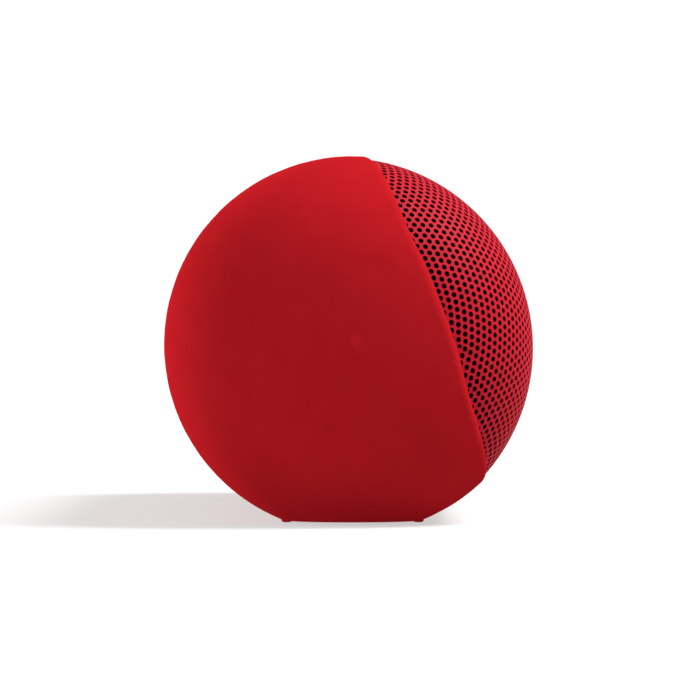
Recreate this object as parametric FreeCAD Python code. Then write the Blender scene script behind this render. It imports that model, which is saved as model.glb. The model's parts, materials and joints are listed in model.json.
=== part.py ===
"""Pill-shaped portable speaker: red silicone housing, perforated grille, two drivers, one radiator.

Everything is drawn in the housing's own frame and tipped back at the end.
X runs along the housing, -Y is the front of the grille and +Z is the button side.
The origin is the middle of the housing's axis.  All lengths are millimetres.
"""
import FreeCAD, Part
import math
import os

V = FreeCAD.Vector

# ---------------------------------------------------------------- driving dimensions
HOUSING_R = 36.4            # radius of the round housing
HALF_STRAIGHT = 80.2        # half the length of its straight part
SHOULDER_R = 28.0           # dome profile: arc that leaves the straight part
CAP_R = 56.0                # dome profile: arc across the tip
TIP_BACK = 20.0             # degrees the front leans back
BASE_DEPTH = 33.9           # flat base below the axis
FOOT_BOTTOM = 34.5          # underside of the foot ribs below the axis
FOOT_OFFSET = 12.8          # foot ribs either side of the axis
FOOT_WIDTH = 2.1
FOOT_LENGTH = 150.0

SKIN = 2.2                  # silicone thickness
SHELL_GAP = 0.1             # chassis to silicone
CHASSIS_WALL = 2.1

GRILLE_R = 36.75            # grille: flatter than the housing, so its axis sits further back
GRILLE_SHOULDER_R = 26.3
GRILLE_AXIS_Y = 2.05
GRILLE_THICK = 0.8
OPENING_INSET = 4.15        # housing outline to the edge of the front opening
OPENING_SHOULDER_R = 26.5   # corners of the opening, rounder than the outline's own
LIP_OVERLAP = 1.25          # grille edge hidden under the silicone lip
LIP_WALL_EXTRA = 2.15       # wall inside the opening's edge, before that edge is rounded over
LIP_ROUND = 1.88            # rounding of the silicone lip

BAFFLE_FRONT = -9.0
BAFFLE_BACK = -6.0
TUB_RIM = -5.5

BUTTON_THICK = 1.6
BUTTON_GAP = 0.3
BUTTON_BOARD_Z = 26.5       # upper face of the button board
SWITCH_TOP = 27.2
STEM_R = 1.6
STEM_END = 27.9
PLAY_X, PLAY_R = 0.0, 6.0
STEP_X, STEP_R = 18.0, 4.5
POWER_X, POWER_R = -48.0, 4.5
LIGHT_X = -56.0
MIC_X = -37.0

WOOFER_X = 14.0
TWEETER_X = 76.0
RADIATOR_X = -62.0

BOARD_FRONT, BOARD_BACK = 20.0, 21.6
USB_X = 58.0
USB_MOUTH = 33.0
CELL_R, CELL_LENGTH = 9.2, 65.0
CELL_X, CELL_Y, CELL_Z = -92.0, 14.0, 9.6

ANCHOR_ANGLE = 45.0         # lanyard anchor, measured round the end dome from the straight part

parts = {}


# ---------------------------------------------------------------- shape helpers
def pill(inset=0.0, body_r=HOUSING_R, shoulder_r=SHOULDER_R, axis_y=0.0):
    """Round bar with domed ends, turned about X, drawn the given distance inside its surface."""
    rise = body_r - shoulder_r
    lean = math.asin(rise / (CAP_R - shoulder_r))
    cap_x = HALF_STRAIGHT - (CAP_R - shoulder_r) * math.cos(lean)
    small, large = shoulder_r - inset, CAP_R - inset

    def shoulder(side, angle):
        return V(side * (HALF_STRAIGHT + small * math.sin(angle)), axis_y, rise + small * math.cos(angle))

    def cap(side, angle):
        return V(side * (cap_x + large * math.cos(angle)), axis_y, large * math.sin(angle))

    turn = math.pi / 2 - lean
    edges = [Part.LineSegment(shoulder(-1, 0), shoulder(1, 0)).toShape()]
    for side in (1, -1):
        edges.append(Part.Arc(shoulder(side, 0), shoulder(side, turn / 2), shoulder(side, turn)).toShape())
        edges.append(Part.Arc(cap(side, lean), cap(side, lean / 2), cap(side, 0)).toShape())
    edges.append(Part.LineSegment(cap(1, 0), cap(-1, 0)).toShape())
    face = Part.Face(Part.Wire(Part.__sortEdges__(edges)))
    return face.revolve(V(0, axis_y, 0), V(1, 0, 0), 360)


def grille_pill(inset=0.0):
    """The grille's own, slightly flatter, pill."""
    return pill(inset, GRILLE_R, GRILLE_SHOULDER_R, GRILLE_AXIS_Y)


def dome_centre():
    """Where the centre of the cap's arc lies along X."""
    return HALF_STRAIGHT - math.sqrt((CAP_R - SHOULDER_R) ** 2 - (HOUSING_R - SHOULDER_R) ** 2)


def domed_prism(high, shoulder_r, cap_r, y0, y1):
    """Long outline with a shoulder and a cap arc at each end, high either side of the axis, from y0 to y1."""
    cap_x = dome_centre()
    rise = high - shoulder_r
    lean = math.asin(rise / (cap_r - shoulder_r))
    shoulder_x = cap_x + (cap_r - shoulder_r) * math.cos(lean)
    turn = math.pi / 2 - lean

    def shoulder(side, up, angle):
        x = side * (shoulder_x + shoulder_r * math.sin(angle))
        return V(x, y0, up * (rise + shoulder_r * math.cos(angle)))

    edges = []
    for up in (1, -1):
        edges.append(Part.LineSegment(shoulder(-1, up, 0), shoulder(1, up, 0)).toShape())
    for side in (1, -1):
        for up in (1, -1):
            ends = [shoulder(side, up, a) for a in (0, turn / 2, turn)]
            edges.append(Part.Arc(*ends).toShape())
        tip = V(side * (cap_x + cap_r), y0, 0)
        edges.append(Part.Arc(shoulder(side, 1, turn), tip, shoulder(side, -1, turn)).toShape())
    face = Part.Face(Part.Wire(Part.__sortEdges__(edges)))
    return face.extrude(V(0, y1 - y0, 0))


def outline_prism(inset, y0, y1):
    """Front outline of the housing, drawn inwards by inset and extruded from y0 to y1."""
    return domed_prism(HOUSING_R - inset, SHOULDER_R - inset, CAP_R - inset, y0, y1)


def opening_prism(extra, y0, y1):
    """Outline of the front opening, drawn inwards by extra and extruded from y0 to y1."""
    inset = OPENING_INSET + extra
    return domed_prism(HOUSING_R - inset, OPENING_SHOULDER_R - extra, CAP_R - inset, y0, y1)


def block(x0, x1, y0, y1, z0, z1):
    return Part.makeBox(x1 - x0, y1 - y0, z1 - z0, V(x0, y0, z0))


def disc(x, z, radius, y0, y1):
    """Cylinder whose axis runs front to back."""
    return Part.makeCylinder(radius, y1 - y0, V(x, y0, z), V(0, 1, 0))


def ring(x, z, outer, inner, y0, y1):
    return disc(x, z, outer, y0, y1).cut(disc(x, z, inner, y0 - 1, y1 + 1))


def post(x, y, radius, z0, z1):
    """Upright cylinder."""
    return Part.makeCylinder(radius, z1 - z0, V(x, y, z0))


def racetrack_wire(x, length, height, y):
    """Two straights and two half circles in a plane facing the front."""
    r = height / 2
    a = length / 2 - r
    edges = [
        Part.LineSegment(V(x - a, y, r), V(x + a, y, r)).toShape(),
        Part.Arc(V(x + a, y, r), V(x + a + r, y, 0), V(x + a, y, -r)).toShape(),
        Part.LineSegment(V(x + a, y, -r), V(x - a, y, -r)).toShape(),
        Part.Arc(V(x - a, y, -r), V(x - a - r, y, 0), V(x - a, y, r)).toShape(),
    ]
    return Part.Wire(edges)


def racetrack(x, length, height, y0, y1):
    return Part.Face(racetrack_wire(x, length, height, y0)).extrude(V(0, y1 - y0, 0))


def racetrack_ring(x, length, height, width, y0, y1):
    hole = racetrack(x, length - 2 * width, height - 2 * width, y0 - 1, y1 + 1)
    return racetrack(x, length, height, y0, y1).cut(hole)


def racetrack_roll(x, length, height, y, roll, thick, lip):
    """Half-roll surround on a racetrack centre line, with a flat lip on both sides of the roll."""
    r = height / 2
    a = length / 2 - r
    section = [
        V(0, y, r + roll + lip), V(0, y - thick, r + roll + lip), V(0, y - thick, r + roll),
        V(0, y - thick, r - roll), V(0, y - thick, r - roll - lip), V(0, y, r - roll - lip),
        V(0, y, r - roll + thick), V(0, y, r + roll - thick),
    ]
    top = V(0, y - roll, r)
    under = V(0, y - roll + thick, r)
    edges = [
        Part.LineSegment(section[0], section[1]).toShape(),
        Part.LineSegment(section[1], section[2]).toShape(),
        Part.Arc(section[2], top, section[3]).toShape(),
        Part.LineSegment(section[3], section[4]).toShape(),
        Part.LineSegment(section[4], section[5]).toShape(),
        Part.LineSegment(section[5], section[6]).toShape(),
        Part.Arc(section[6], under, section[7]).toShape(),
        Part.LineSegment(section[7], section[0]).toShape(),
    ]
    face = Part.Face(Part.Wire(edges))
    front = V(0, 1, 0)
    pieces = []
    for side in (1, -1):
        end = face.copy()
        end.translate(V(side * a, 0, 0))
        pieces.append(end.revolve(V(side * a, 0, 0), front, side * 180))
        straight = face.copy()
        if side < 0:
            straight.rotate(V(0, 0, 0), front, 180)
        straight.translate(V(-a, 0, 0))
        pieces.append(straight.extrude(V(2 * a, 0, 0)))
    solid = pieces[0].multiFuse(pieces[1:]).removeSplitter()
    solid.translate(V(x, 0, 0))
    return solid


def turned(points, x):
    """Solid of revolution about the front-to-back line through x, from (radius, y) corners."""
    corners = [V(r, y, 0) for r, y in points]
    face = Part.Face(Part.makePolygon(corners + corners[:1]))
    solid = face.revolve(V(0, 0, 0), V(0, 1, 0), 360)
    solid.translate(V(x, 0, 0))
    return solid


def bowl(x, edge_r, height, thick, base_y):
    """Thin spherical cap that stands height in front of base_y."""
    r = (edge_r ** 2 + height ** 2) / (2 * height)
    centre = V(x, base_y - height + r, 0)
    cap = Part.makeSphere(r, centre).cut(Part.makeSphere(r - thick, centre))
    return cap.common(disc(x, 0, edge_r + 1, base_y - height - 1, base_y))


def base_box(depth):
    """Everything lower than the given depth below the axis once the speaker stands up."""
    box = Part.makeBox(300, 200, 60, V(-150, -100, -depth - 60))
    box.rotate(V(0, 0, 0), V(1, 0, 0), TIP_BACK)
    return box


def lead(points, bend, radius):
    """Round wire through the points, with every corner rounded."""
    edges = []
    start = points[0]
    for before, corner, after in zip(points, points[1:], points[2:]):
        a = (before - corner).normalize()
        b = (after - corner).normalize()
        middle = corner + (a + b) * bend + (a + b).normalize() * -bend
        edges.append(Part.LineSegment(start, corner + a * bend).toShape())
        edges.append(Part.Arc(corner + a * bend, middle, corner + b * bend).toShape())
        start = corner + b * bend
    edges.append(Part.LineSegment(start, points[-1]).toShape())
    run = points[1] - points[0]
    section = Part.Wire(Part.makeCircle(radius, points[0], run))
    return Part.Wire(edges).makePipeShell([section], True, False)


def screw(position, direction, head_r, head, shank_r, shank):
    """Pan-head screw: position is under its head, direction points along its shank."""
    body = Part.makeCylinder(shank_r, shank, position, direction)
    top = Part.makeCylinder(head_r, head, position, direction * -1)
    slot = Part.makeCylinder(head_r * 0.35, head * 0.6, position - direction * head, direction)
    return body.fuse(top).cut(slot)


def group(solids):
    return Part.makeCompound(solids)


# ---------------------------------------------------------------- fixing positions
BAFFLE_SCREWS = [
    (-84.0, 26.0, 0, 1), (-84.0, -26.0, 0, -1), (58.0, 27.0, 0, 1), (58.0, -27.0, 0, -1),
    (-30.5, -27.5, 0, -1), (97.0, 0.0, 1, 0), (-98.0, 0.0, -1, 0),
]
BOARD_SCREWS = [(x, z) for x in (-16.0, 76.0) for z in (-13.0, 13.0)]
CRADLE_SCREWS = [(x, z) for x in (-84.0, -35.0) for z in (-8.0, 8.0)]
CRADLE_FRONT, CRADLE_BACK = 24.2, 27.0
CRADLE_SEAT = 25.6
BUTTON_SCREWS = [-61.0, -30.0, 31.0]
BUTTON_SCREW_Y = 4.5


# ---------------------------------------------------------------- housing
def button_places():
    return [
        ("button_power", POWER_X, POWER_R), ("button_minus", -STEP_X, STEP_R),
        ("button_play", PLAY_X, PLAY_R), ("button_plus", STEP_X, STEP_R),
    ]


def foot_rib(side):
    """Long rib with rounded ends and a softened underside."""
    half = FOOT_LENGTH / 2 - FOOT_WIDTH / 2
    height = FOOT_BOTTOM - BASE_DEPTH + 1.0
    rib = Part.makeBox(2 * half, FOOT_WIDTH, height, V(-half, -FOOT_WIDTH / 2, -FOOT_BOTTOM))
    for end in (-half, half):
        rib = rib.fuse(Part.makeCylinder(FOOT_WIDTH / 2, height, V(end, 0, -FOOT_BOTTOM)))
    rib = rib.removeSplitter()
    lower = [e for e in rib.Edges if e.BoundBox.ZMax < -FOOT_BOTTOM + 0.01]
    rib = rib.makeFillet(0.5, lower)
    rib.translate(V(0, side * FOOT_OFFSET, 0))
    rib.rotate(V(0, 0, 0), V(1, 0, 0), TIP_BACK)
    return rib


def usb_slot(width, height, y0, y1):
    return racetrack(USB_X, width, height, y0, y1)


def anchor_frame(shape):
    """Carry a shape drawn about the origin, looking along +Z, onto the rear of the +X end dome."""
    shape.rotate(V(0, 0, 0), V(1, 0, 0), -90)
    shape.rotate(V(0, 0, 0), V(0, 0, 1), -ANCHOR_ANGLE)
    angle = math.radians(ANCHOR_ANGLE)
    rise = HOUSING_R - SHOULDER_R
    shape.translate(V(HALF_STRAIGHT + SHOULDER_R * math.sin(angle), rise + SHOULDER_R * math.cos(angle), 0))
    return shape


def anchor_block(width, height, z0, z1):
    return anchor_frame(Part.makeBox(width, height, z1 - z0, V(-width / 2, -height / 2, z0)))


def rounded_lip(solid, surface):
    """Round the edge where the wall of the front opening leaves the housing's outer surface."""
    shell = Part.Shell(surface.Faces)

    def on_surface(edge):
        middle = (edge.FirstParameter + edge.LastParameter) / 2
        points = [edge.valueAt(t) for t in (edge.FirstParameter, middle, edge.LastParameter)]
        return all(p.y < BAFFLE_FRONT - 2 and shell.distToShape(Part.Vertex(p))[0] < 0.01 for p in points)

    return solid.makeFillet(LIP_ROUND, [e for e in solid.Edges if on_surface(e)])


def housing():
    surface = pill()
    skin = rounded_lip(surface.cut(opening_prism(LIP_WALL_EXTRA, -60, BAFFLE_FRONT)), surface)
    skin = skin.cut(base_box(BASE_DEPTH))
    groove = outline_prism(OPENING_INSET - LIP_OVERLAP - 0.1, -60, BAFFLE_FRONT)
    skin = skin.cut(groove.common(grille_pill(-0.1)))
    skin = skin.fuse([foot_rib(side) for side in (1, -1)])
    skin = skin.cut(pill(SKIN).cut(base_box(BASE_DEPTH - SKIN)))
    holes = [post(x, 0, r + BUTTON_GAP, 20, 50) for name, x, r in button_places()]
    holes += [post(LIGHT_X, 0, 1.1, 20, 50), post(MIC_X, 0, 0.5, 20, 50)]
    holes += [usb_slot(14.0, 8.2, 30, 50), anchor_block(9.2, 11.2, -8, 8)]
    parts["silicone_skin"] = skin.cut(holes)

    inset = SKIN + SHELL_GAP
    tub = pill(inset).cut(base_box(BASE_DEPTH - inset))
    tub = tub.cut(pill(inset + CHASSIS_WALL).cut(base_box(BASE_DEPTH - inset - CHASSIS_WALL)))
    tub = tub.cut(block(-150, 150, -60, TUB_RIM, -60, 60))
    bosses = []
    for x, z, dx, dz in BAFFLE_SCREWS:
        bosses.append(disc(x, z, 2.4, TUB_RIM, 6))
        reach = 14
        bosses.append(block(min(x, x + dx * reach) - 0.9, max(x, x + dx * reach) + 0.9, TUB_RIM, 6,
                            min(z, z + dz * reach) - 0.9, max(z, z + dz * reach) + 0.9))
    bosses += [disc(x, z, 2.6, BOARD_BACK, 40) for x, z in BOARD_SCREWS]
    bosses += [disc(x, z, 2.6, CRADLE_BACK, 40) for x, z in CRADLE_SCREWS]
    bosses += [post(x, BUTTON_SCREW_Y, 2.2, BUTTON_BOARD_Z, 40) for x in BUTTON_SCREWS]
    limit = pill(inset + CHASSIS_WALL / 2).cut(base_box(BASE_DEPTH - inset - CHASSIS_WALL / 2))
    tub = tub.fuse([boss.common(limit) for boss in bosses])
    holes = [post(x, 0, STEM_R + 0.7, 20, 50) for name, x, r in button_places()]
    holes += [post(LIGHT_X, 0, 1.1, 20, 50), post(MIC_X, 0, 0.5, 20, 50)]
    holes += [usb_slot(9.6, 3.9, 28, 50), anchor_block(9.3, 11.3, -12, 8)]
    holes += [disc(x, z, 1.15, TUB_RIM - 1, 4) for x, z, dx, dz in BAFFLE_SCREWS]
    holes += [disc(x, z, 1.25, BOARD_BACK - 1, BOARD_BACK + 5) for x, z in BOARD_SCREWS]
    holes += [disc(x, z, 1.25, CRADLE_BACK - 1, CRADLE_BACK + 4.6) for x, z in CRADLE_SCREWS]
    holes += [post(x, BUTTON_SCREW_Y, 1.05, 20, 30) for x in BUTTON_SCREWS]
    parts["chassis_tub"] = tub.cut(holes)

    baffle = pill(inset).common(block(-150, 150, BAFFLE_FRONT, BAFFLE_BACK, -60, 60))
    baffle = baffle.cut([
        racetrack(WOOFER_X, 79, 47, -20, 0),
        racetrack(RADIATOR_X, 52, 42, -20, 0),
        disc(TWEETER_X, 0, 12.8, -20, 0),
    ])
    baffle = baffle.cut([disc(x, z, 1.4, -20, 0) for x, z, dx, dz in BAFFLE_SCREWS])
    baffle = baffle.cut([disc(x, z, 0.95, -20, 0) for x, z in driver_screw_places()])
    parts["front_baffle"] = baffle

    seal = pill(inset + 0.1).cut(pill(inset + CHASSIS_WALL - 0.1))
    parts["baffle_gasket"] = seal.common(block(-150, 150, BAFFLE_BACK, TUB_RIM, -60, 60))
    parts["baffle_screws"] = group([
        screw(V(x, BAFFLE_FRONT, z), V(0, 1, 0), 2.2, 1.4, 1.1, 11) for x, z, dx, dz in BAFFLE_SCREWS
    ])


def front():
    shell = grille_pill().cut(grille_pill(GRILLE_THICK))
    edge = OPENING_INSET - LIP_OVERLAP
    parts["grille"] = shell.common(outline_prism(edge, -60, BAFFLE_FRONT))
    behind = GRILLE_THICK + 0.1
    rail = outline_prism(edge + 0.2, -60, BAFFLE_FRONT).cut(outline_prism(edge + 3.1, -61, BAFFLE_FRONT + 1))
    parts["grille_frame"] = rail.common(grille_pill(behind))
    cloth = grille_pill(behind).cut(grille_pill(behind + 0.3))
    parts["acoustic_cloth"] = cloth.common(outline_prism(edge + 3.2, -60, BAFFLE_FRONT - 0.3))


# ---------------------------------------------------------------- buttons
def glyph(name, x):
    """Sunk symbol for a button, as a solid tall enough to cut through its outer face."""
    low, high = HOUSING_R - 0.45, HOUSING_R + 2
    across = block(x - 2.0, x + 2.0, -0.35, 0.35, low, high)
    if name == "button_minus":
        return across
    if name == "button_plus":
        return across.fuse(block(x - 0.35, x + 0.35, -2.0, 2.0, low, high))
    if name == "button_play":
        corners = [V(x - 1.6, -2.2, low), V(x + 2.4, 0, low), V(x - 1.6, 2.2, low), V(x - 1.6, -2.2, low)]
        return Part.Face(Part.makePolygon(corners)).extrude(V(0, 0, high - low))
    circle = post(x, 0, 2.1, low, high).cut(post(x, 0, 1.5, low - 1, high + 1))
    circle = circle.cut(block(x - 0.8, x + 0.8, 0, 4, low - 1, high + 1))
    return circle.fuse(block(x - 0.3, x + 0.3, 0.5, 2.6, low, high))


def buttons():
    slice_of_skin = pill(0.05).cut(pill(BUTTON_THICK)).common(block(-70, 40, -15, 15, 0, 60))
    for name, x, r in button_places():
        cap = slice_of_skin.common(post(x, 0, r, 20, 50))
        stem = post(x, 0, STEM_R, STEM_END, HOUSING_R - 1.0)
        parts[name] = cap.fuse(stem).removeSplitter().cut(glyph(name, x))

    top = BUTTON_BOARD_Z
    board = block(-65, 35, -5, 7.5, top - 1.2, top)
    board = board.cut([post(x, BUTTON_SCREW_Y, 1.2, 20, 30) for x in BUTTON_SCREWS])
    parts["button_board"] = board
    parts["button_board_screws"] = group([
        screw(V(x, BUTTON_SCREW_Y, top - 1.2), V(0, 0, 1), 1.9, 1.2, 1.0, 4.2) for x in BUTTON_SCREWS
    ])
    switches = []
    for name, x, r in button_places():
        base = block(x - 2.6, x + 2.6, -2.6, 2.6, top, top + 0.35)
        dome = post(x, 0, 2.0, top + 0.35, SWITCH_TOP)
        switches.append(base.fuse(dome))
    parts["dome_switches"] = group(switches)
    parts["status_led"] = block(LIGHT_X - 0.8, LIGHT_X + 0.8, -0.6, 0.6, top, top + 0.7)
    pipe = post(LIGHT_X, 0, 1.0, top + 1.0, 40).fuse(post(LIGHT_X, 0, 1.7, top + 1.0, top + 2.0))
    parts["light_pipe"] = pipe.common(pill(0.1))
    body = block(MIC_X - 2.0, MIC_X + 2.0, -1.5, 1.5, top, top + 1.1)
    parts["microphone"] = body.cut(post(MIC_X, 0, 0.4, top + 0.5, top + 2))


# ---------------------------------------------------------------- drivers
def driver_screw_places():
    """(x, z) of the small screws through the flanges of the woofer, radiator and tweeter."""
    places = [(WOOFER_X + sx * 33.5, sz * 18.8) for sx in (1, -1) for sz in (1, -1)]
    places += [(RADIATOR_X + sx * 21.9, sz * 16.4) for sx in (1, -1) for sz in (1, -1)]
    places += [(TWEETER_X + sx * 9.8, sz * 9.8) for sx in (1, -1) for sz in (1, -1)]
    return places


def woofer():
    x = WOOFER_X
    seat = BAFFLE_FRONT - 0.5
    face = -11.0
    parts["woofer_gasket"] = racetrack_ring(x, 84, 52, 2.5, seat, BAFFLE_FRONT)
    frame = racetrack_ring(x, 84, 52, 4.0, face, seat)
    frame = frame.fuse([
        racetrack_ring(x, 77, 45, 2.0, face, 2.5),
        racetrack(x, 77, 45, 1.0, 2.5),
        ring(x, 0, 19.5, 18.0, -0.6, 2.0),
        block(x + 38, x + 42, -5.5, -4.5, -5, 5),
    ])
    windows = [racetrack(x + side * 28, 10, 9, 0, 4) for side in (1, -1)]
    windows += [block(x + side * 28 - 6, x + side * 28 + 3, -3.5, -0.5, 19, 24) for side in (1, -1)]
    frame = frame.cut([disc(x, 0, 13.3, 0, 4)] + windows)
    holes = [disc(px, pz, 0.95, -20, 0) for px, pz in driver_screw_places()]
    parts["woofer_frame"] = frame.removeSplitter().cut(holes)
    parts["woofer_gasket"] = parts["woofer_gasket"].cut(holes)
    parts["woofer_surround"] = racetrack_roll(x, 71, 39, face, 2.5, 0.5, 1.4)

    rim = racetrack_wire(x, 66, 34, face + 0.05)
    neck = racetrack_wire(x, 26.2, 25.2, -5)
    solid = Part.makeLoft([rim, neck], True, True)
    inside = solid.copy()
    inside.translate(V(0, -0.6, 0))
    parts["woofer_cone"] = solid.cut(inside)
    parts["woofer_dust_cap"] = bowl(x, 11.5, 4.0, 0.5, -5.6)
    former = ring(x, 0, 12.45, 12.15, -5, 6)
    parts["woofer_voice_coil"] = former.fuse(ring(x, 0, 12.9, 12.4, 2, 6))
    wave = []
    count = 12
    for i in range(count + 1):
        wave.append((13.1 + (19.4 - 13.1) * i / count, -1.4 + (0.35 if i % 4 in (1, 2) else -0.35)))
    under = [(r, y + 0.3) for r, y in reversed(wave)]
    parts["woofer_spider"] = turned(wave + under, x)
    parts["woofer_top_plate"] = ring(x, 0, 18, 13.2, 2.5, 5.5)
    parts["woofer_magnet"] = ring(x, 0, 17.5, 14.5, 5.5, 10.5)
    yoke = disc(x, 0, 18, 10.5, 13.5).fuse(disc(x, 0, 11.6, 2.5, 10.5))
    parts["woofer_yoke"] = yoke.cut(disc(x, 0, 3.0, 0, 15))


def tweeter():
    x = TWEETER_X
    face = -11.0
    frame = ring(x, 0, 15.5, 10.2, face, BAFFLE_FRONT).fuse(ring(x, 0, 12.5, 11.3, face, -0.5))
    parts["tweeter_frame"] = frame.cut([disc(px, pz, 0.95, -20, 0) for px, pz in driver_screw_places()])
    roll = [(6.9, face), (6.9, face - 0.3), (7.6, face - 0.3), (8.2, face - 0.9), (9.2, face - 0.9),
            (9.8, face - 0.3), (11.0, face - 0.3), (11.0, face), (9.6, face), (9.0, face - 0.6),
            (8.4, face - 0.6), (7.8, face)]
    parts["tweeter_surround"] = turned(roll, x)
    dome = bowl(x, 7.2, 2.6, 0.3, face - 0.55)
    parts["tweeter_dome"] = dome
    parts["tweeter_voice_coil"] = ring(x, 0, 6.8, 6.55, face - 0.5, -6.2)
    parts["tweeter_top_plate"] = disc(x, 0, 6.1, -8.5, -6.5)
    parts["tweeter_magnet"] = disc(x, 0, 5.8, -6.5, -3)
    parts["tweeter_cup"] = disc(x, 0, 11.2, -8.5, -1).cut(disc(x, 0, 7.3, -9, -3))


def radiator():
    x = RADIATOR_X
    face = -11.0
    frame = racetrack_ring(x, 58, 48, 5.0, face, BAFFLE_FRONT)
    frame = frame.fuse(racetrack_ring(x, 51, 41, 1.5, face, -4))
    holes = [disc(px, pz, 0.95, -20, 0) for px, pz in driver_screw_places()]
    parts["radiator_frame"] = frame.removeSplitter().cut(holes)
    parts["radiator_surround"] = racetrack_roll(x, 43, 33, face, 2.5, 0.5, 1.2)
    plate = racetrack(x, 38, 28, face + 0.05, face + 1.4)
    parts["radiator_plate"] = plate
    weight = disc(x, 0, 9, face + 1.4, -6)
    parts["radiator_mass"] = weight.cut(disc(x, 0, 3, -8, -5))


def driver_screws():
    fasteners = []
    for x, z in driver_screw_places():
        fasteners.append(screw(V(x, -11.0, z), V(0, 1, 0), 1.5, 0.9, 0.9, 4.6))
    parts["driver_screws"] = group(fasteners)


# ---------------------------------------------------------------- battery and electronics
def along(x0, x1, radius, y, z):
    return Part.makeCylinder(radius, x1 - x0, V(x0, y, z), V(1, 0, 0))


def battery_envelope(x0, x1, radius):
    """Both cells and the flats that bridge them."""
    pair = [along(x0, x1, radius, CELL_Y, z) for z in (CELL_Z, -CELL_Z)]
    middle = block(x0, x1, CELL_Y - radius, CELL_Y + radius, -CELL_Z, CELL_Z)
    return middle.fuse(pair).removeSplitter()


def battery():
    x0, x1 = CELL_X, CELL_X + CELL_LENGTH
    parts["battery_cells"] = group([along(x0, x1, CELL_R, CELL_Y, z) for z in (CELL_Z, -CELL_Z)])
    sleeve = battery_envelope(x0 + 1, x1 - 1, CELL_R + 0.45)
    parts["battery_sleeve"] = sleeve.cut(battery_envelope(x0, x1, CELL_R + 0.1))
    cradle = block(-88, -31, CRADLE_FRONT, CRADLE_BACK, -12, 12)
    saddles = [block(x - 1.5, x + 1.5, 14, CRADLE_FRONT, -20.8, 20.8) for x in (-78, -42)]
    cradle = cradle.fuse(saddles).cut(battery_envelope(x0 - 5, x1 + 5, CELL_R + 0.55))
    rounds = along(-90, -29, 31.7, 0, 0)
    cradle = cradle.common(rounds)
    cradle = cradle.cut([disc(x, z, 1.4, 20, 30) for x, z in CRADLE_SCREWS])
    parts["battery_cradle"] = cradle.cut([disc(x, z, 2.4, 20, CRADLE_SEAT) for x, z in CRADLE_SCREWS])
    parts["battery_board"] = block(x1 + 0.2, x1 + 1.2, 6, 22, -14, 14)


def fixing_screws():
    seats = [(x, BOARD_FRONT, z) for x, z in BOARD_SCREWS] + [(x, CRADLE_SEAT, z) for x, z in CRADLE_SCREWS]
    parts["fixing_screws"] = group([screw(V(*seat), V(0, 1, 0), 2.2, 1.4, 1.2, 5.6) for seat in seats])


def electronics():
    back = BOARD_BACK
    board = block(-20, 80, BOARD_FRONT, back, -16, 16)
    parts["main_board"] = board.cut([disc(x, z, 1.35, 10, 30) for x, z in BOARD_SCREWS])
    can = block(-10, 6, back, back + 2.6, -7, 6).cut(block(-9.7, 5.7, back - 1, back + 2.3, -6.7, 5.7))
    parts["radio_shield"] = can
    parts["amplifier_chip"] = block(18, 26, back, back + 1.0, -4, 4)
    parts["inductors"] = group([block(30, 36, back, back + 4, z - 3, z + 3) for z in (-7, 7)])
    parts["capacitors"] = group([disc(45, z, 4, back, back + 5.4) for z in (-10, 0, 10)])
    shell = usb_slot(9.0, 3.2, back, USB_MOUTH).cut(usb_slot(8.4, 2.6, back + 5, USB_MOUTH + 1))
    tongue = block(USB_X - 3.3, USB_X + 3.3, back + 4, USB_MOUTH - 0.8, -0.35, 0.35)
    parts["usb_receptacle"] = shell
    parts["usb_tongue"] = tongue.cut(usb_slot(9.0, 3.2, back, back + 5))
    bezel = usb_slot(13.8, 8.0, 33, 40).cut(usb_slot(12.6, 6.8, 30, 45))
    parts["usb_bezel"] = bezel.common(pill(0.15)).cut(pill(SKIN))
    sockets = [
        block(-18, -11, 15, BOARD_FRONT, -4, 4), block(50, 58, 15, BOARD_FRONT, -4, 4),
        block(68, 73, 15, BOARD_FRONT, -4, 4), block(-10, 0, 17, BOARD_FRONT, 9, 14),
    ]
    parts["board_sockets"] = group(sockets)


def leads():
    tab_x = WOOFER_X + 40
    parts["woofer_lead"] = group([disc(tab_x, z, 0.7, -4.5, 15) for z in (-2, 2)])
    parts["tweeter_lead"] = group([
        lead([V(TWEETER_X, -1, z), V(TWEETER_X, 7, z), V(70.5, 7, z), V(70.5, 15, z)], 2.0, 0.6)
        for z in (-2, 2)
    ])
    start_x = CELL_X + CELL_LENGTH + 1.2
    parts["battery_lead"] = group([
        lead([V(start_x, 10, z), V(-14.5, 10, z), V(-14.5, 15, z)], 3.0, 0.7) for z in (-2, 2)
    ])
    top, side = 25.9, 18.0
    bend, half = 4.0, 0.15
    flat = block(-10, 0, 7.5, side - bend, top - half, top + half)
    drop = block(-10, 0, side - half, side + half, 14, top - bend)
    corner = along(-10, 0, bend + half, side - bend, top - bend)
    corner = corner.cut(along(-11, 1, bend - half, side - bend, top - bend))
    corner = corner.common(block(-10, 0, side - bend, side + 5, top - bend, top + 5))
    parts["button_ribbon"] = flat.fuse([corner, drop]).removeSplitter()


# ---------------------------------------------------------------- lanyard anchor
def anchor():
    cup = anchor_block(9.0, 11.0, -7.0, -0.2).common(pill(0.1))
    cup = cup.cut(anchor_block(6.6, 8.4, -5.6, 3))
    pin_hole = anchor_frame(Part.makeCylinder(1.05, 10.4, V(0, -5.2, -2.4), V(0, 1, 0)))
    parts["lanyard_cup"] = cup.cut(pin_hole)
    parts["lanyard_bar"] = anchor_frame(Part.makeCylinder(1.0, 10.2, V(0, -5.1, -2.4), V(0, 1, 0)))


# ---------------------------------------------------------------- build, tip back and write
for build in (housing, front, buttons, woofer, tweeter, radiator, driver_screws,
              battery, fixing_screws, electronics, leads, anchor):
    build()

front_reach = GRILLE_R - GRILLE_AXIS_Y * math.cos(math.radians(TIP_BACK))
shift = V(0, (front_reach - HOUSING_R) / 2, FOOT_BOTTOM)

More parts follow.
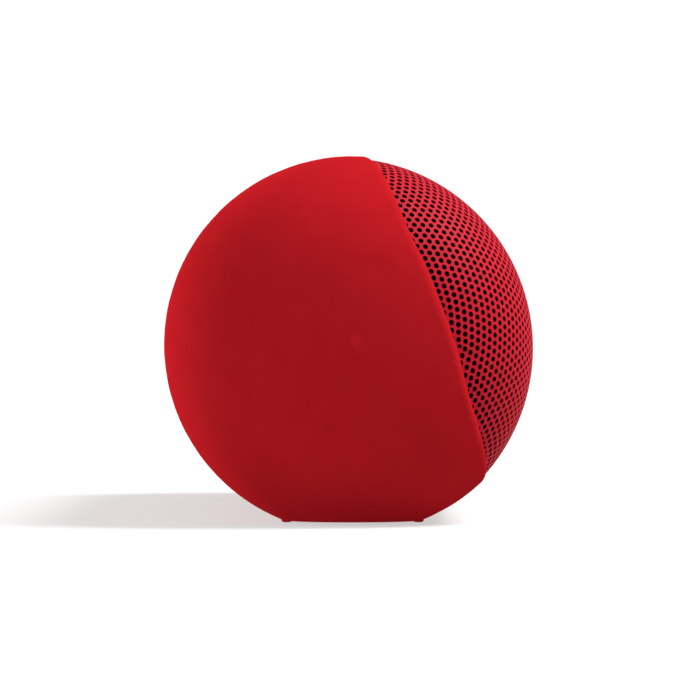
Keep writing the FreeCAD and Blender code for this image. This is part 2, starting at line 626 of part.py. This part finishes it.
os.makedirs("parts", exist_ok=True)
for name, shape in parts.items():
    shape.rotate(V(0, 0, 0), V(1, 0, 0), -TIP_BACK)
    shape.translate(shift)
    shape.exportStep("parts/" + name + ".step")
    box = shape.BoundBox
    print(name, len(shape.Solids), round(shape.Volume, 1), shape.isValid(),
          [round(v, 2) for v in (box.XMin, box.XMax, box.YMin, box.YMax, box.ZMin, box.ZMax)])
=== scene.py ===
"""Looks for the pill-shaped portable speaker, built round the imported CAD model.

Shapes are worked out in the housing's own frame (millimetres, -Y out of the grille, +Z towards the
buttons, origin on the housing's axis) and carried into the row frame by to_row().
"""

import json
import math

import bpy
import numpy as np
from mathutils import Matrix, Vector


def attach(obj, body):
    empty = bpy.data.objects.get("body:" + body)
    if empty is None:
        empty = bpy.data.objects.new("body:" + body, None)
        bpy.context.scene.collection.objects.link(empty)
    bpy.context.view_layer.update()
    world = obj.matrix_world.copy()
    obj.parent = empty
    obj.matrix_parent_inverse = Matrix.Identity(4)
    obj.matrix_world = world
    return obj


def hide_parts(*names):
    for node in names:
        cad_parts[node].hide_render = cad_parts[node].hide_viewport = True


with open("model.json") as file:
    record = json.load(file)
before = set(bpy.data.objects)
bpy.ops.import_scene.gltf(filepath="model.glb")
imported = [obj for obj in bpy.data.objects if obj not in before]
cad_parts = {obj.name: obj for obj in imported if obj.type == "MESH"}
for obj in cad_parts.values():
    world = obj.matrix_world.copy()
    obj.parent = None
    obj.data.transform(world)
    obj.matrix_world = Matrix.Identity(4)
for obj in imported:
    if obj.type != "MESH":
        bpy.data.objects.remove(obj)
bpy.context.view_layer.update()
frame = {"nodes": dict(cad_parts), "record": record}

# ---------------------------------------------------------------- sizes shared with the CAD, millimetres
HOUSING_R, SHOULDER_R, CAP_R, HALF_STRAIGHT = 36.4, 28.0, 56.0, 80.2
GRILLE_R, GRILLE_SHOULDER_R, GRILLE_AXIS_Y = 36.75, 26.3, 2.05
GRILLE_THICK = 0.8
GRILLE_EDGE_INSET = 2.9         # sheet edge, drawn in from the housing's outline
TIP_BACK = math.radians(20)     # lean of the whole body
AXIS_HEIGHT = 34.5              # housing axis above the floor
AXIS_SHIFT = (GRILLE_R - GRILLE_AXIS_Y * math.cos(TIP_BACK) - HOUSING_R) / 2

# ---------------------------------------------------------------- perforated sheet, millimetres
HOLE_PITCH = 1.653
HOLE_R = 0.56
HOLE_SIDES = 8
HOLE_WALL = 0.2                 # how far the punched edge of a hole is seen to go in
LATTICE_TWIST = math.radians(-9.5)
LATTICE_START = (1.04, 0.80)    # the lattice's first hole, from the middle of the sheet
FLAT_HALF_LENGTH, FLAT_HALF_HEIGHT = 150, 80
SHEET_REACH = 1.4               # how far round, in radians, the sheet is followed before it is trimmed
SPARE_INSET, SPARE_DEPTH = 1.0, 5   # room kept between the followed sheet and the outline and axis
RELAX_STEPS, RELAX_SHARE = 250, 0.25
EDGE_MARGIN = 0.1               # holes stop this far short of the sheet's edge
TIP_MARGIN = 0.02               # keeps the outline's square root off zero at the very ends

# ---------------------------------------------------------------- acoustic cloth
CLOTH_INSET, CLOTH_GAP, CLOTH_TIP_MARGIN = 6.1, 0.2, 0.05
CLOTH_ROWS, CLOTH_COLUMNS = 48, 150

# ---------------------------------------------------------------- studio
FLOOR_HALF = 6.0
FLOOR_GLOW = 0.56
SKY_LOW, SKY_HORIZON, SKY_HIGH = 0.45, 1.06, 0.62
# where the sky's bands begin and end, from 0 straight down to 1 straight up
SKY_LOW_END, SKY_HORIZON_START, SKY_HORIZON_END, SKY_HIGH_START = 0.40, 0.46, 0.56, 0.62
CAMERA_X, CAMERA_LENS, CAMERA_SHIFT = -0.9802, 239.7, (-0.0037, -0.0076)


def to_row(points):
    """Housing frame in millimetres to row frame in metres."""
    p = np.asarray(points, float)
    c, s = math.cos(TIP_BACK), math.sin(TIP_BACK)
    y = p[:, 1] * c + p[:, 2] * s + AXIS_SHIFT
    z = -p[:, 1] * s + p[:, 2] * c + AXIS_HEIGHT
    return np.stack([p[:, 0], y, z], 1) / 1000


# ---------------------------------------------------------------- surfaces
def dome_profile(body_r, shoulder_r):
    """Centre height of the shoulder arc, the angle where the cap takes over, and the cap's centre."""
    rise = body_r - shoulder_r
    lean = math.asin(rise / (CAP_R - shoulder_r))
    return rise, lean, HALF_STRAIGHT - (CAP_R - shoulder_r) * math.cos(lean)


def onto_pill(points, body_r, shoulder_r, axis_y, inset=0.0):
    """Nearest points on a pill surface, and its outward normals there."""
    rise, lean, cap_x = dome_profile(body_r, shoulder_r)
    x, y, z = points[:, 0], points[:, 1] - axis_y, points[:, 2]
    rho = np.hypot(y, z)
    reach = np.abs(x)
    side = np.sign(x)
    beyond = reach - HALF_STRAIGHT
    turn = np.arctan2(beyond, rho - rise)
    on_dome = beyond > 0
    on_cap = on_dome & (turn >= math.pi / 2 - lean)
    tip = np.arctan2(rho, reach - cap_x)
    small, large = shoulder_r - inset, CAP_R - inset
    new_x = np.where(on_dome, HALF_STRAIGHT + small * np.sin(turn), reach)
    new_r = np.where(on_dome, rise + small * np.cos(turn), body_r - inset)
    new_x = np.where(on_cap, cap_x + large * np.cos(tip), new_x)
    new_r = np.where(on_cap, large * np.sin(tip), new_r)
    slope = np.where(on_cap, math.pi / 2 - tip, np.where(on_dome, turn, 0.0))
    unit_y, unit_z = y / np.maximum(rho, 1e-9), z / np.maximum(rho, 1e-9)
    normal = np.stack([side * np.sin(slope), unit_y * np.cos(slope), unit_z * np.cos(slope)], 1)
    place = np.stack([side * new_x, unit_y * new_r + axis_y, unit_z * new_r], 1)
    return place, normal


def onto_grille(points, inset=0.0):
    """Nearest points on the grille's surface, and its outward normals there."""
    return onto_pill(points, GRILLE_R, GRILLE_SHOULDER_R, GRILLE_AXIS_Y, inset)


def half_height(x, inset):
    """Half height of the housing's front outline at x, drawn in by inset."""
    rise, lean, cap_x = dome_profile(HOUSING_R, SHOULDER_R)
    small, large = SHOULDER_R - inset, CAP_R - inset
    reach = np.abs(x)
    beyond = np.maximum(reach - HALF_STRAIGHT, 0)
    shoulder = rise + np.sqrt(np.maximum(small ** 2 - beyond ** 2, 0))
    cap = np.sqrt(np.maximum(large ** 2 - (reach - cap_x) ** 2, 0))
    return np.where(beyond < small * math.cos(lean), shoulder, cap)


def outline_reach(inset):
    """Half length of the front outline drawn in by inset."""
    return dome_profile(HOUSING_R, SHOULDER_R)[2] + CAP_R - inset


def new_mesh(name, verts, faces, body):
    """Smooth-shaded mesh object that rides on a body."""
    mesh = bpy.data.meshes.new(name)
    mesh.from_pydata([tuple(v) for v in verts], [], faces)
    mesh.validate()
    for polygon in mesh.polygons:
        polygon.use_smooth = True
    obj = bpy.data.objects.new(name, mesh)
    bpy.context.scene.collection.objects.link(obj)
    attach(obj, body)
    return obj


# ---------------------------------------------------------------- perforated grille
def flat_lattice():
    """Staggered hole centres of the flat sheet, turned by the sheet's twist, and neighbour pairs."""
    step = HOLE_PITCH * math.sqrt(3) / 2
    columns, rows = int(FLAT_HALF_LENGTH / step), int(FLAT_HALF_HEIGHT / HOLE_PITCH)
    index, centres = {}, []
    for i in range(-columns, columns + 1):
        for j in range(-rows, rows + 1):
            index[i, j] = len(centres)
            centres.append((i * step, (j + 0.5 * (i % 2)) * HOLE_PITCH))
    around = {}
    for (i, j), k in index.items():
        odd = i % 2
        ring = [(i, j + 1), (i + 1, j + odd), (i + 1, j - 1 + odd),
                (i, j - 1), (i - 1, j - 1 + odd), (i - 1, j + odd)]
        around[k] = [index.get(q) for q in ring]
    c, s = math.cos(LATTICE_TWIST), math.sin(LATTICE_TWIST)
    flat = (np.array(centres) + LATTICE_START) @ np.array([[c, s], [-s, c]])
    return flat, around


def wrap(flat):
    """First guess at where the flat sheet lies: rolled round the middle, then over the end domes."""
    lean = dome_profile(GRILLE_R, GRILLE_SHOULDER_R)[1]
    dome_arc = GRILLE_SHOULDER_R * (math.pi / 2 - lean) + CAP_R * lean
    s, t = flat[:, 0], flat[:, 1]
    along = np.clip(np.abs(s) - HALF_STRAIGHT, 0, None) / dome_arc * math.pi / 2
    across = t / GRILLE_R
    bend = np.hypot(along, across)
    spread = np.sinc(bend / math.pi)
    x = np.sign(s) * (np.minimum(np.abs(s), HALF_STRAIGHT) + GRILLE_R * along * spread)
    y = GRILLE_AXIS_Y - GRILLE_R * np.cos(bend)
    place = onto_grille(np.stack([x, y, GRILLE_R * across * spread], 1))[0]
    return place, bend < SHEET_REACH


def formed_lattice():
    """Hole centres on the grille, with their spacing evened out as it is when a sheet is drawn to shape."""
    flat, around = flat_lattice()
    place, usable = wrap(flat)
    usable &= np.abs(place[:, 2]) < half_height(place[:, 0], SPARE_INSET)
    usable &= place[:, 1] < GRILLE_AXIS_Y - SPARE_DEPTH
    pairs = np.array([(k, q) for k, ring in around.items() if usable[k]
                      for q in ring[:3] if q is not None and usable[q]])
    for _ in range(RELAX_STEPS):
        gap = place[pairs[:, 1]] - place[pairs[:, 0]]
        length = np.linalg.norm(gap, axis=1, keepdims=True)
        pull = gap * (1 - HOLE_PITCH / np.maximum(length, 1e-9))
        move = np.zeros_like(place)
        np.add.at(move, pairs[:, 0], pull)
        np.add.at(move, pairs[:, 1], -pull)
        place = onto_grille(place + RELAX_SHARE * move)[0]
    return place, around, usable


def grille_mesh():
    """A six-sided cell of sheet round every hole, joined edge to edge, each with its hole and wall."""
    place, around, usable = formed_lattice()
    inset = GRILLE_EDGE_INSET + EDGE_MARGIN
    inside = usable & (np.abs(place[:, 2]) < half_height(place[:, 0], inset))
    inside &= np.abs(place[:, 0]) < outline_reach(inset)
    cells = [k for k in np.flatnonzero(inside) if all(q is not None and usable[q] for q in around[k])]
    normals = onto_grille(place)[1]
    verts, faces, corner_at = [], [], {}

    def corner(a, b, c):
        key = tuple(sorted((a, b, c)))
        if key not in corner_at:
            corner_at[key] = len(verts)
            verts.append((place[a] + place[b] + place[c]) / 3)
        return corner_at[key]

    for k in cells:
        ring = around[k]
        outer = [corner(k, ring[i], ring[(i + 1) % 6]) for i in range(6)]
        n = normals[k]
        e1 = verts[outer[0]] - place[k]
        e1 = e1 - n * (e1 @ n)
        e1 /= np.linalg.norm(e1)
        e2 = np.cross(n, e1)
        turn = math.copysign(1, (verts[outer[1]] - place[k]) @ e2)
        start = len(verts)
        for i in range(HOLE_SIDES):
            a = turn * 2 * math.pi * i / HOLE_SIDES
            verts.append(place[k] + HOLE_R * (math.cos(a) * e1 + math.sin(a) * e2))
        rim = [start + i for i in range(HOLE_SIDES)]
        i = j = 0
        while i < 6 or j < HOLE_SIDES:
            if j == HOLE_SIDES or (i < 6 and (i + 0.5) / 6 <= (j + 0.5) / HOLE_SIDES):
                face = (outer[i % 6], outer[(i + 1) % 6], rim[j % HOLE_SIDES])
                i += 1
            else:
                face = (rim[(j + 1) % HOLE_SIDES], rim[j % HOLE_SIDES], outer[i % 6])
                j += 1
            faces.append(face if turn > 0 else face[::-1])
        low = len(verts)
        for i in range(HOLE_SIDES):
            verts.append(verts[start + i] - n * HOLE_WALL)
        for i in range(HOLE_SIDES):
            q = (i + 1) % HOLE_SIDES
            face = (start + i, start + q, low + q, low + i)
            faces.append(face if turn < 0 else face[::-1])
    verts = np.array(verts)
    limit = half_height(verts[:, 0], GRILLE_EDGE_INSET)
    reach = outline_reach(GRILLE_EDGE_INSET) - TIP_MARGIN
    verts[:, 0] = np.clip(verts[:, 0], -reach, reach)
    verts[:, 2] = np.clip(verts[:, 2], -limit, limit)
    return verts, faces


def build_grille():
    """The perforated sheet, in place of the plain CAD one."""
    verts, faces = grille_mesh()
    obj = new_mesh("perforated_grille", to_row(verts), faces, "housing")
    obj.data.set_sharp_from_angle(angle=math.radians(40))
    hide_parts("grille")
    return obj


# ---------------------------------------------------------------- acoustic cloth behind the grille
def build_cloth():
    """One stretched sheet just behind the grille, cut to the inside of the grille frame."""
    reach = outline_reach(CLOTH_INSET) - CLOTH_TIP_MARGIN
    outline, faces = [], []
    for i in range(CLOTH_COLUMNS + 1):
        x = reach * math.sin(math.pi / 2 * (2 * i / CLOTH_COLUMNS - 1))
        tall = float(half_height(np.array(x), CLOTH_INSET))
        for j in range(CLOTH_ROWS + 1):
            outline.append((x, tall * math.sin(math.pi / 2 * (2 * j / CLOTH_ROWS - 1))))
    x, z = np.array(outline).T
    points = np.stack([x, grille_depth(x, z, GRILLE_THICK + CLOTH_GAP), z], 1)
    row = CLOTH_ROWS + 1
    for i in range(CLOTH_COLUMNS):
        for j in range(CLOTH_ROWS):
            a = i * row + j
            faces.append((a, a + 1, a + row + 1, a + row))
    obj = new_mesh("acoustic_cloth_sheet", to_row(points), faces, "housing")
    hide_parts("acoustic_cloth")
    return obj


def grille_depth(x, z, inset):
    """Front-to-back position of the grille's surface, drawn in by inset, seen from the front at x and z."""
    rise, lean, cap_x = dome_profile(GRILLE_R, GRILLE_SHOULDER_R)
    small, large = GRILLE_SHOULDER_R - inset, CAP_R - inset
    reach = np.abs(x)
    beyond = np.maximum(reach - HALF_STRAIGHT, 0)
    shoulder = rise + np.sqrt(np.maximum(small ** 2 - beyond ** 2, 0))
    cap = np.sqrt(np.maximum(large ** 2 - (reach - cap_x) ** 2, 0))
    rho = np.where(beyond < small * math.cos(lean), shoulder, cap)
    return GRILLE_AXIS_Y - np.sqrt(np.maximum(rho ** 2 - z ** 2, 0))


# ---------------------------------------------------------------- materials
BROAD_TO_FINE = 12              # patches of colour are this many times larger than the grain
NOISE_DETAIL = 3.0
ROUGH_SPREAD = 0.08
THREADS_PER_WAVE = 20           # Blender's band texture repeats this often in a length of 1 / scale


def node_material(name):
    """A new node material, its tree and its Principled shader."""
    mat = bpy.data.materials.new(name)
    mat.use_nodes = True
    tree = mat.node_tree
    bsdf = next(n for n in tree.nodes if n.type == "BSDF_PRINCIPLED")
    return mat, tree, bsdf


def surface(name, dark, light, roughness, grain, bump, metallic=0.0, specular=0.5, coat=0.0,
            stretch=(1, 1, 1), bump_depth=0.0001):
    """Principled material: two close colours, a spread of roughness and a fine bump, all from noise."""
    mat, tree, bsdf = node_material(name)
    nodes, links = tree.nodes, tree.links
    place = nodes.new("ShaderNodeTexCoord")
    mapping = nodes.new("ShaderNodeMapping")
    mapping.inputs["Scale"].default_value = stretch
    links.new(place.outputs["Object"], mapping.inputs["Vector"])
    broad = nodes.new("ShaderNodeTexNoise")
    broad.inputs["Scale"].default_value = grain / BROAD_TO_FINE
    broad.inputs["Detail"].default_value = NOISE_DETAIL
    links.new(mapping.outputs["Vector"], broad.inputs["Vector"])
    ramp = nodes.new("ShaderNodeValToRGB")
    ramp.color_ramp.elements[0].position = 0.3
    ramp.color_ramp.elements[1].position = 0.7
    ramp.color_ramp.elements[0].color = (*dark, 1)
    ramp.color_ramp.elements[1].color = (*light, 1)
    links.new(broad.outputs["Fac"], ramp.inputs["Fac"])
    links.new(ramp.outputs["Color"], bsdf.inputs["Base Color"])
    spread = nodes.new("ShaderNodeMapRange")
    spread.inputs["To Min"].default_value = max(roughness - ROUGH_SPREAD, 0.02)
    spread.inputs["To Max"].default_value = min(roughness + ROUGH_SPREAD, 1.0)
    links.new(broad.outputs["Fac"], spread.inputs["Value"])
    links.new(spread.outputs["Result"], bsdf.inputs["Roughness"])
    fine = nodes.new("ShaderNodeTexNoise")
    fine.inputs["Scale"].default_value = grain
    fine.inputs["Detail"].default_value = NOISE_DETAIL
    links.new(mapping.outputs["Vector"], fine.inputs["Vector"])
    relief = nodes.new("ShaderNodeBump")
    relief.inputs["Strength"].default_value = bump
    relief.inputs["Distance"].default_value = bump_depth
    links.new(fine.outputs["Fac"], relief.inputs["Height"])
    links.new(relief.outputs["Normal"], bsdf.inputs["Normal"])
    bsdf.inputs["Metallic"].default_value = metallic
    bsdf.inputs["Specular IOR Level"].default_value = specular
    bsdf.inputs["Coat Weight"].default_value = coat
    return mat


def woven(name, dark, light, thread, roughness=0.9):
    """Plain weave: two crossed sets of threads, thread metres wide, with their own bump."""
    mat, tree, bsdf = node_material(name)
    nodes, links = tree.nodes, tree.links
    place = nodes.new("ShaderNodeTexCoord")
    height = None
    for axis in ("X", "Z"):
        wave = nodes.new("ShaderNodeTexWave")
        wave.bands_direction = axis
        wave.inputs["Scale"].default_value = 1 / (thread * THREADS_PER_WAVE)
        wave.inputs["Distortion"].default_value = 0.4
        links.new(place.outputs["Object"], wave.inputs["Vector"])
        if height is None:
            height = wave.outputs["Fac"]
        else:
            mix = nodes.new("ShaderNodeMath")
            mix.operation = "MULTIPLY"
            links.new(height, mix.inputs[0])
            links.new(wave.outputs["Fac"], mix.inputs[1])
            height = mix.outputs[0]
    ramp = nodes.new("ShaderNodeValToRGB")
    ramp.color_ramp.elements[0].color = (*dark, 1)
    ramp.color_ramp.elements[1].color = (*light, 1)
    links.new(height, ramp.inputs["Fac"])
    links.new(ramp.outputs["Color"], bsdf.inputs["Base Color"])
    relief = nodes.new("ShaderNodeBump")
    relief.inputs["Strength"].default_value = 0.6
    relief.inputs["Distance"].default_value = thread * 0.4
    links.new(height, relief.inputs["Height"])
    links.new(relief.outputs["Normal"], bsdf.inputs["Normal"])
    bsdf.inputs["Roughness"].default_value = roughness
    bsdf.inputs["Specular IOR Level"].default_value = 0.0
    return mat


MATERIALS = {
    "red_silicone": surface("red_silicone", (0.270, 0.0060, 0.0090), (0.286, 0.0066, 0.0098), 0.85,
                            2600, 0.10, specular=0.0, bump_depth=0.00004),
    "red_button": surface("red_button", (0.255, 0.0056, 0.0084), (0.272, 0.0062, 0.0092), 0.8, 2600, 0.10,
                          specular=0.0, bump_depth=0.00004),
    "red_metal": surface("red_metal", (0.300, 0.0052, 0.014), (0.328, 0.0062, 0.016), 0.6, 3200, 0.12,
                         specular=0.04, bump_depth=0.00003),
    "black_plastic": surface("black_plastic", (0.006, 0.004, 0.004), (0.010, 0.007, 0.007), 0.6,
                             3000, 0.25, specular=0.05),
    "black_cloth": woven("black_cloth", (0.0012, 0.0002, 0.0002), (0.0060, 0.0007, 0.0008), 0.00012),
    "black_rubber": surface("black_rubber", (0.010, 0.010, 0.010), (0.016, 0.016, 0.016), 0.6, 2500, 0.2,
                            specular=0.1),
    "steel": surface("steel", (0.52, 0.52, 0.53), (0.66, 0.66, 0.67), 0.3, 2200, 0.15, metallic=1.0,
                     stretch=(1, 8, 8)),
    "black_metal": surface("black_metal", (0.02, 0.02, 0.022), (0.035, 0.035, 0.037), 0.4, 1800, 0.15,
                           metallic=0.3),
    "grey_cone": surface("grey_cone", (0.030, 0.030, 0.032), (0.055, 0.055, 0.058), 0.75, 1500, 0.6),
    "copper": surface("copper", (0.55, 0.22, 0.10), (0.72, 0.33, 0.17), 0.3, 2500, 0.4, metallic=1.0,
                      stretch=(1, 12, 1)),
    "spider_cloth": woven("spider_cloth", (0.25, 0.14, 0.04), (0.48, 0.30, 0.10), 0.0003),
    "magnet": surface("magnet", (0.34, 0.34, 0.35), (0.50, 0.50, 0.51), 0.25, 900, 0.08, metallic=1.0),
    "dome_cloth": woven("dome_cloth", (0.012, 0.012, 0.014), (0.030, 0.030, 0.034), 0.00012, 0.6),
    "cell_metal": surface("cell_metal", (0.42, 0.44, 0.46), (0.56, 0.58, 0.60), 0.3, 1500, 0.1,
                          metallic=1.0),
    "blue_wrap": surface("blue_wrap", (0.010, 0.045, 0.24), (0.016, 0.065, 0.32), 0.28, 700, 0.25,
                         coat=0.3),
    "circuit_board": surface("circuit_board", (0.005, 0.055, 0.020), (0.010, 0.095, 0.035), 0.35,
                             1600, 0.2, coat=0.2),
    "chip": surface("chip", (0.012, 0.012, 0.013), (0.022, 0.022, 0.024), 0.55, 3500, 0.3),
    "ferrite": surface("ferrite", (0.030, 0.030, 0.032), (0.060, 0.060, 0.064), 0.5, 2500, 0.4,
                       metallic=0.4),
    "capacitor_metal": surface("capacitor_metal", (0.55, 0.55, 0.57), (0.70, 0.70, 0.72), 0.25, 1500, 0.1,
                               metallic=1.0),
    "white_plastic": surface("white_plastic", (0.62, 0.60, 0.54), (0.72, 0.70, 0.64), 0.45, 2000, 0.15),
    "clear_plastic": surface("clear_plastic", (0.42, 0.44, 0.47), (0.50, 0.52, 0.55), 0.25, 2000, 0.1),
    "lead_red": surface("lead_red", (0.25, 0.010, 0.010), (0.35, 0.016, 0.016), 0.4, 2000, 0.15),
    "lead_black": surface("lead_black", (0.010, 0.010, 0.010), (0.018, 0.018, 0.018), 0.4, 2000, 0.15),
    "ribbon": surface("ribbon", (0.42, 0.15, 0.018), (0.52, 0.20, 0.03), 0.3, 1500, 0.15, coat=0.3,
                      stretch=(10, 1, 1)),
}


def dress_cad():
    """Every carried-over CAD node takes the material of its slot."""
    slots = {entry["node"]: entry["material_slot"] for entry in frame["record"]["subparts"]}
    for name, obj in frame["nodes"].items():
        mat = MATERIALS[slots[name]]
        if not obj.material_slots:
            obj.data.materials.append(mat)
        for entry in obj.material_slots:
            entry.material = mat


# ---------------------------------------------------------------- floor, light and camera
def soft_sun(name, towards, strength, width):
    """Very soft, even light that comes from the given direction."""
    data = bpy.data.lights.new(name, "SUN")
    data.energy = strength
    data.angle = math.radians(width)
    lamp = bpy.data.objects.new(name, data)
    bpy.context.scene.collection.objects.link(lamp)
    lamp.rotation_euler = Vector(towards).to_track_quat("Z", "Y").to_euler()


def pale_floor():
    """Plain white floor with a faint glow, like a light table."""
    corners = [(sx * FLOOR_HALF, sy * FLOOR_HALF, 0) for sx, sy in ((-1, -1), (1, -1), (1, 1), (-1, 1))]
    mesh = bpy.data.meshes.new("floor")
    mesh.from_pydata(corners, [], [(0, 1, 2, 3)])
    floor = bpy.data.objects.new("floor", mesh)
    bpy.context.scene.collection.objects.link(floor)
    mat = surface("pale_floor", (0.24, 0.24, 0.24), (0.26, 0.26, 0.26), 0.85, 40, 0.02, specular=0.0)
    lit = next(n for n in mat.node_tree.nodes if n.type == "BSDF_PRINCIPLED")
    lit.inputs["Emission Color"].default_value = (1, 1, 1, 1)
    lit.inputs["Emission Strength"].default_value = FLOOR_GLOW
    mesh.materials.append(mat)


def pale_sky():
    """White light from all round, brightest near the horizon."""
    world = bpy.data.worlds.new("studio")
    bpy.context.scene.world = world
    world.use_nodes = True
    tree = world.node_tree
    background = next(n for n in tree.nodes if n.type == "BACKGROUND")
    place = tree.nodes.new("ShaderNodeTexCoord")
    split = tree.nodes.new("ShaderNodeSeparateXYZ")
    lift = tree.nodes.new("ShaderNodeMapRange")
    lift.inputs["From Min"].default_value = -1.0
    tree.links.new(place.outputs["Generated"], split.inputs["Vector"])
    tree.links.new(split.outputs["Z"], lift.inputs["Value"])
    ramp = tree.nodes.new("ShaderNodeValToRGB")
    ramp.color_ramp.elements[0].color = (SKY_LOW, SKY_LOW, SKY_LOW, 1)
    ramp.color_ramp.elements[0].position = SKY_LOW_END
    ramp.color_ramp.elements[1].color = (SKY_HIGH, SKY_HIGH, SKY_HIGH, 1)
    ramp.color_ramp.elements[1].position = SKY_HIGH_START
    for position in (SKY_HORIZON_START, SKY_HORIZON_END):
        glow = ramp.color_ramp.elements.new(position)
        glow.color = (SKY_HORIZON, SKY_HORIZON, SKY_HORIZON, 1)
    tree.links.new(lift.outputs["Result"], ramp.inputs["Fac"])
    tree.links.new(ramp.outputs["Color"], background.inputs["Color"])


def end_camera():
    """Long lens on the housing's axis, level, looking along it at the near end."""
    data = bpy.data.cameras.new("camera")
    camera = bpy.data.objects.new("camera", data)
    bpy.context.scene.collection.objects.link(camera)
    data.sensor_width = 36.0
    data.lens = CAMERA_LENS
    data.clip_start, data.clip_end = 0.05, 50
    data.shift_x, data.shift_y = CAMERA_SHIFT
    camera.location = (CAMERA_X, AXIS_SHIFT / 1000, AXIS_HEIGHT / 1000)
    camera.rotation_euler = (math.pi / 2, 0, -math.pi / 2)
    bpy.context.scene.camera = camera


dress_cad()
grille = build_grille()
grille.data.materials.append(MATERIALS["red_metal"])
cloth = build_cloth()
cloth.data.materials.append(MATERIALS["black_cloth"])

pale_floor()
pale_sky()
soft_sun("front_light", (0.03, -0.60, 0.80), 6.6, 30)
soft_sun("rear_light", (0.61, 0.79, 0.04), 6.2, 16)
soft_sun("fill_light", (-0.43, 0.88, 0.03), 1.8, 30)
end_camera()
bpy.context.scene.view_settings.view_transform = "Standard"
